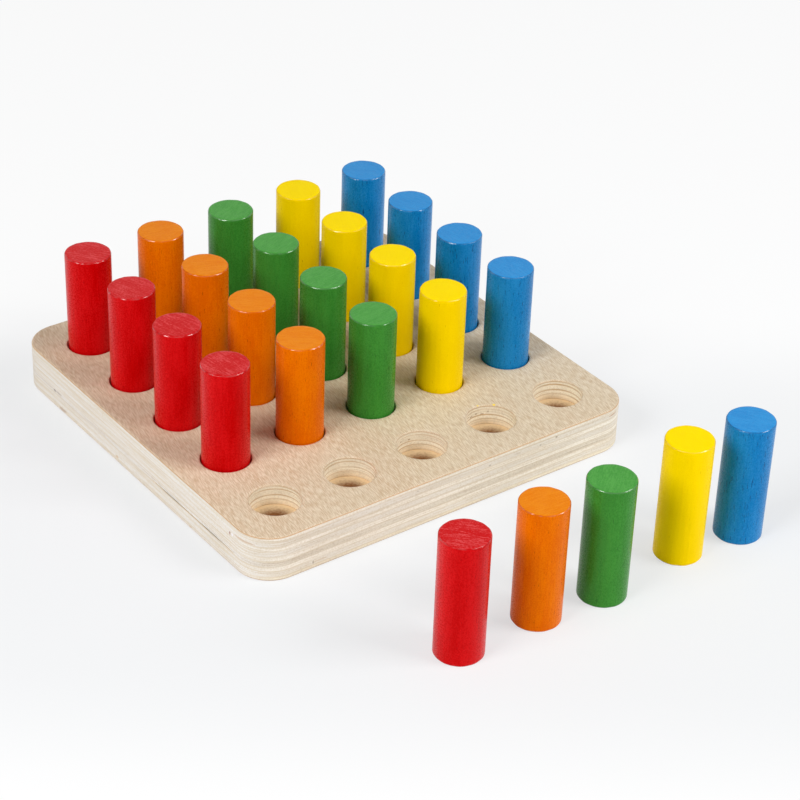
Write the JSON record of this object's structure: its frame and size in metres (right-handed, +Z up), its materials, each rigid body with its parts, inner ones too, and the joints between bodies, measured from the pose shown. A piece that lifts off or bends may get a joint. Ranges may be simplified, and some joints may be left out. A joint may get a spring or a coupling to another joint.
{
  "type": "peg board with cylinders",
  "caption": "Square plywood board with a grid of blind round sockets holding loose lacquered wooden cylinders, one colour to a column; the front row's cylinders stand beside it.",
  "frame": {"origin": "centre of the board's underside, where it rests on the table", "axes": "+X along the board's front edge to the right, +Y from the front edge to the back, +Z up along the pegs"},
  "size_m": [0.1932, 0.2755, 0.0653],
  "materials": {
    "face_veneer": "pale fine-grained face veneer, sanded, unlacquered satin",
    "long_grain_ply": "pale cream core ply, grain along the front edge, sanded edge",
    "cross_grain_ply": "greyer core ply, grain from front to back, porous end grain at the front edge",
    "red_lacquer": "turned wood with a semi-gloss red lacquer, grain showing at the ends",
    "orange_lacquer": "turned wood with a semi-gloss orange lacquer, grain showing at the ends",
    "green_lacquer": "turned wood with a semi-gloss green lacquer, grain showing at the ends",
    "yellow_lacquer": "turned wood with a semi-gloss yellow lacquer, grain showing at the ends",
    "blue_lacquer": "turned wood with a semi-gloss blue lacquer, grain showing at the ends"
  },
  "bodies": {
    "board": {"bottom_face_veneer": "face_veneer", "core_ply_1": "long_grain_ply", "core_ply_2": "cross_grain_ply", "core_ply_3": "long_grain_ply", "core_ply_4": "cross_grain_ply", "core_ply_5": "long_grain_ply", "core_ply_6": "cross_grain_ply", "core_ply_7": "long_grain_ply", "core_ply_8": "cross_grain_ply", "core_ply_9": "long_grain_ply", "top_face_veneer": "face_veneer"},
    "red_peg_row_2": {"red_peg_row_2": "red_lacquer"},
    "red_peg_row_3": {"red_peg_row_3": "red_lacquer"},
    "red_peg_row_4": {"red_peg_row_4": "red_lacquer"},
    "red_peg_row_5": {"red_peg_row_5": "red_lacquer"},
    "orange_peg_row_2": {"orange_peg_row_2": "orange_lacquer"},
    "orange_peg_row_3": {"orange_peg_row_3": "orange_lacquer"},
    "orange_peg_row_4": {"orange_peg_row_4": "orange_lacquer"},
    "orange_peg_row_5": {"orange_peg_row_5": "orange_lacquer"},
    "green_peg_row_2": {"green_peg_row_2": "green_lacquer"},
    "green_peg_row_3": {"green_peg_row_3": "green_lacquer"},
    "green_peg_row_4": {"green_peg_row_4": "green_lacquer"},
    "green_peg_row_5": {"green_peg_row_5": "green_lacquer"},
    "yellow_peg_row_2": {"yellow_peg_row_2": "yellow_lacquer"},
    "yellow_peg_row_3": {"yellow_peg_row_3": "yellow_lacquer"},
    "yellow_peg_row_4": {"yellow_peg_row_4": "yellow_lacquer"},
    "yellow_peg_row_5": {"yellow_peg_row_5": "yellow_lacquer"},
    "blue_peg_row_2": {"blue_peg_row_2": "blue_lacquer"},
    "blue_peg_row_3": {"blue_peg_row_3": "blue_lacquer"},
    "blue_peg_row_4": {"blue_peg_row_4": "blue_lacquer"},
    "blue_peg_row_5": {"blue_peg_row_5": "blue_lacquer"},
    "red_peg_standing": {"red_peg_standing": "red_lacquer"},
    "orange_peg_standing": {"orange_peg_standing": "orange_lacquer"},
    "green_peg_standing": {"green_peg_standing": "green_lacquer"},
    "yellow_peg_standing": {"yellow_peg_standing": "yellow_lacquer"},
    "blue_peg_standing": {"blue_peg_standing": "blue_lacquer"}
  },
  "joints": [
    {"name": "red_peg_row_2_lift", "type": "slide", "parent": "board", "child": "red_peg_row_2", "axis": [0, 0, 1], "range_m": [0, 0.06]},
    {"name": "red_peg_row_3_lift", "type": "slide", "parent": "board", "child": "red_peg_row_3", "axis": [0, 0, 1], "range_m": [0, 0.06]},
    {"name": "red_peg_row_4_lift", "type": "slide", "parent": "board", "child": "red_peg_row_4", "axis": [0, 0, 1], "range_m": [0, 0.06]},
    {"name": "red_peg_row_5_lift", "type": "slide", "parent": "board", "child": "red_peg_row_5", "axis": [0, 0, 1], "range_m": [0, 0.06]},
    {"name": "orange_peg_row_2_lift", "type": "slide", "parent": "board", "child": "orange_peg_row_2", "axis": [0, 0, 1], "range_m": [0, 0.06]},
    {"name": "orange_peg_row_3_lift", "type": "slide", "parent": "board", "child": "orange_peg_row_3", "axis": [0, 0, 1], "range_m": [0, 0.06]},
    {"name": "orange_peg_row_4_lift", "type": "slide", "parent": "board", "child": "orange_peg_row_4", "axis": [0, 0, 1], "range_m": [0, 0.06]},
    {"name": "orange_peg_row_5_lift", "type": "slide", "parent": "board", "child": "orange_peg_row_5", "axis": [0, 0, 1], "range_m": [0, 0.06]},
    {"name": "green_peg_row_2_lift", "type": "slide", "parent": "board", "child": "green_peg_row_2", "axis": [0, 0, 1], "range_m": [0, 0.06]},
    {"name": "green_peg_row_3_lift", "type": "slide", "parent": "board", "child": "green_peg_row_3", "axis": [0, 0, 1], "range_m": [0, 0.06]},
    {"name": "green_peg_row_4_lift", "type": "slide", "parent": "board", "child": "green_peg_row_4", "axis": [0, 0, 1], "range_m": [0, 0.06]},
    {"name": "green_peg_row_5_lift", "type": "slide", "parent": "board", "child": "green_peg_row_5", "axis": [0, 0, 1], "range_m": [0, 0.06]},
    {"name": "yellow_peg_row_2_lift", "type": "slide", "parent": "board", "child": "yellow_peg_row_2", "axis": [0, 0, 1], "range_m": [0, 0.06]},
    {"name": "yellow_peg_row_3_lift", "type": "slide", "parent": "board", "child": "yellow_peg_row_3", "axis": [0, 0, 1], "range_m": [0, 0.06]},
    {"name": "yellow_peg_row_4_lift", "type": "slide", "parent": "board", "child": "yellow_peg_row_4", "axis": [0, 0, 1], "range_m": [0, 0.06]},
    {"name": "yellow_peg_row_5_lift", "type": "slide", "parent": "board", "child": "yellow_peg_row_5", "axis": [0, 0, 1], "range_m": [0, 0.06]},
    {"name": "blue_peg_row_2_lift", "type": "slide", "parent": "board", "child": "blue_peg_row_2", "axis": [0, 0, 1], "range_m": [0, 0.06]},
    {"name": "blue_peg_row_3_lift", "type": "slide", "parent": "board", "child": "blue_peg_row_3", "axis": [0, 0, 1], "range_m": [0, 0.06]},
    {"name": "blue_peg_row_4_lift", "type": "slide", "parent": "board", "child": "blue_peg_row_4", "axis": [0, 0, 1], "range_m": [0, 0.06]},
    {"name": "blue_peg_row_5_lift", "type": "slide", "parent": "board", "child": "blue_peg_row_5", "axis": [0, 0, 1], "range_m": [0, 0.06]},
    {"name": "red_peg_standing_lift", "type": "slide", "parent": "board", "child": "red_peg_standing", "axis": [0, 0, 1], "range_m": [0, 0.06]},
    {"name": "orange_peg_standing_lift", "type": "slide", "parent": "board", "child": "orange_peg_standing", "axis": [0, 0, 1], "range_m": [0, 0.06]},
    {"name": "green_peg_standing_lift", "type": "slide", "parent": "board", "child": "green_peg_standing", "axis": [0, 0, 1], "range_m": [0, 0.06]},
    {"name": "yellow_peg_standing_lift", "type": "slide", "parent": "board", "child": "yellow_peg_standing", "axis": [0, 0, 1], "range_m": [0, 0.06]},
    {"name": "blue_peg_standing_lift", "type": "slide", "parent": "board", "child": "blue_peg_standing", "axis": [0, 0, 1], "range_m": [0, 0.06]}
  ]
}
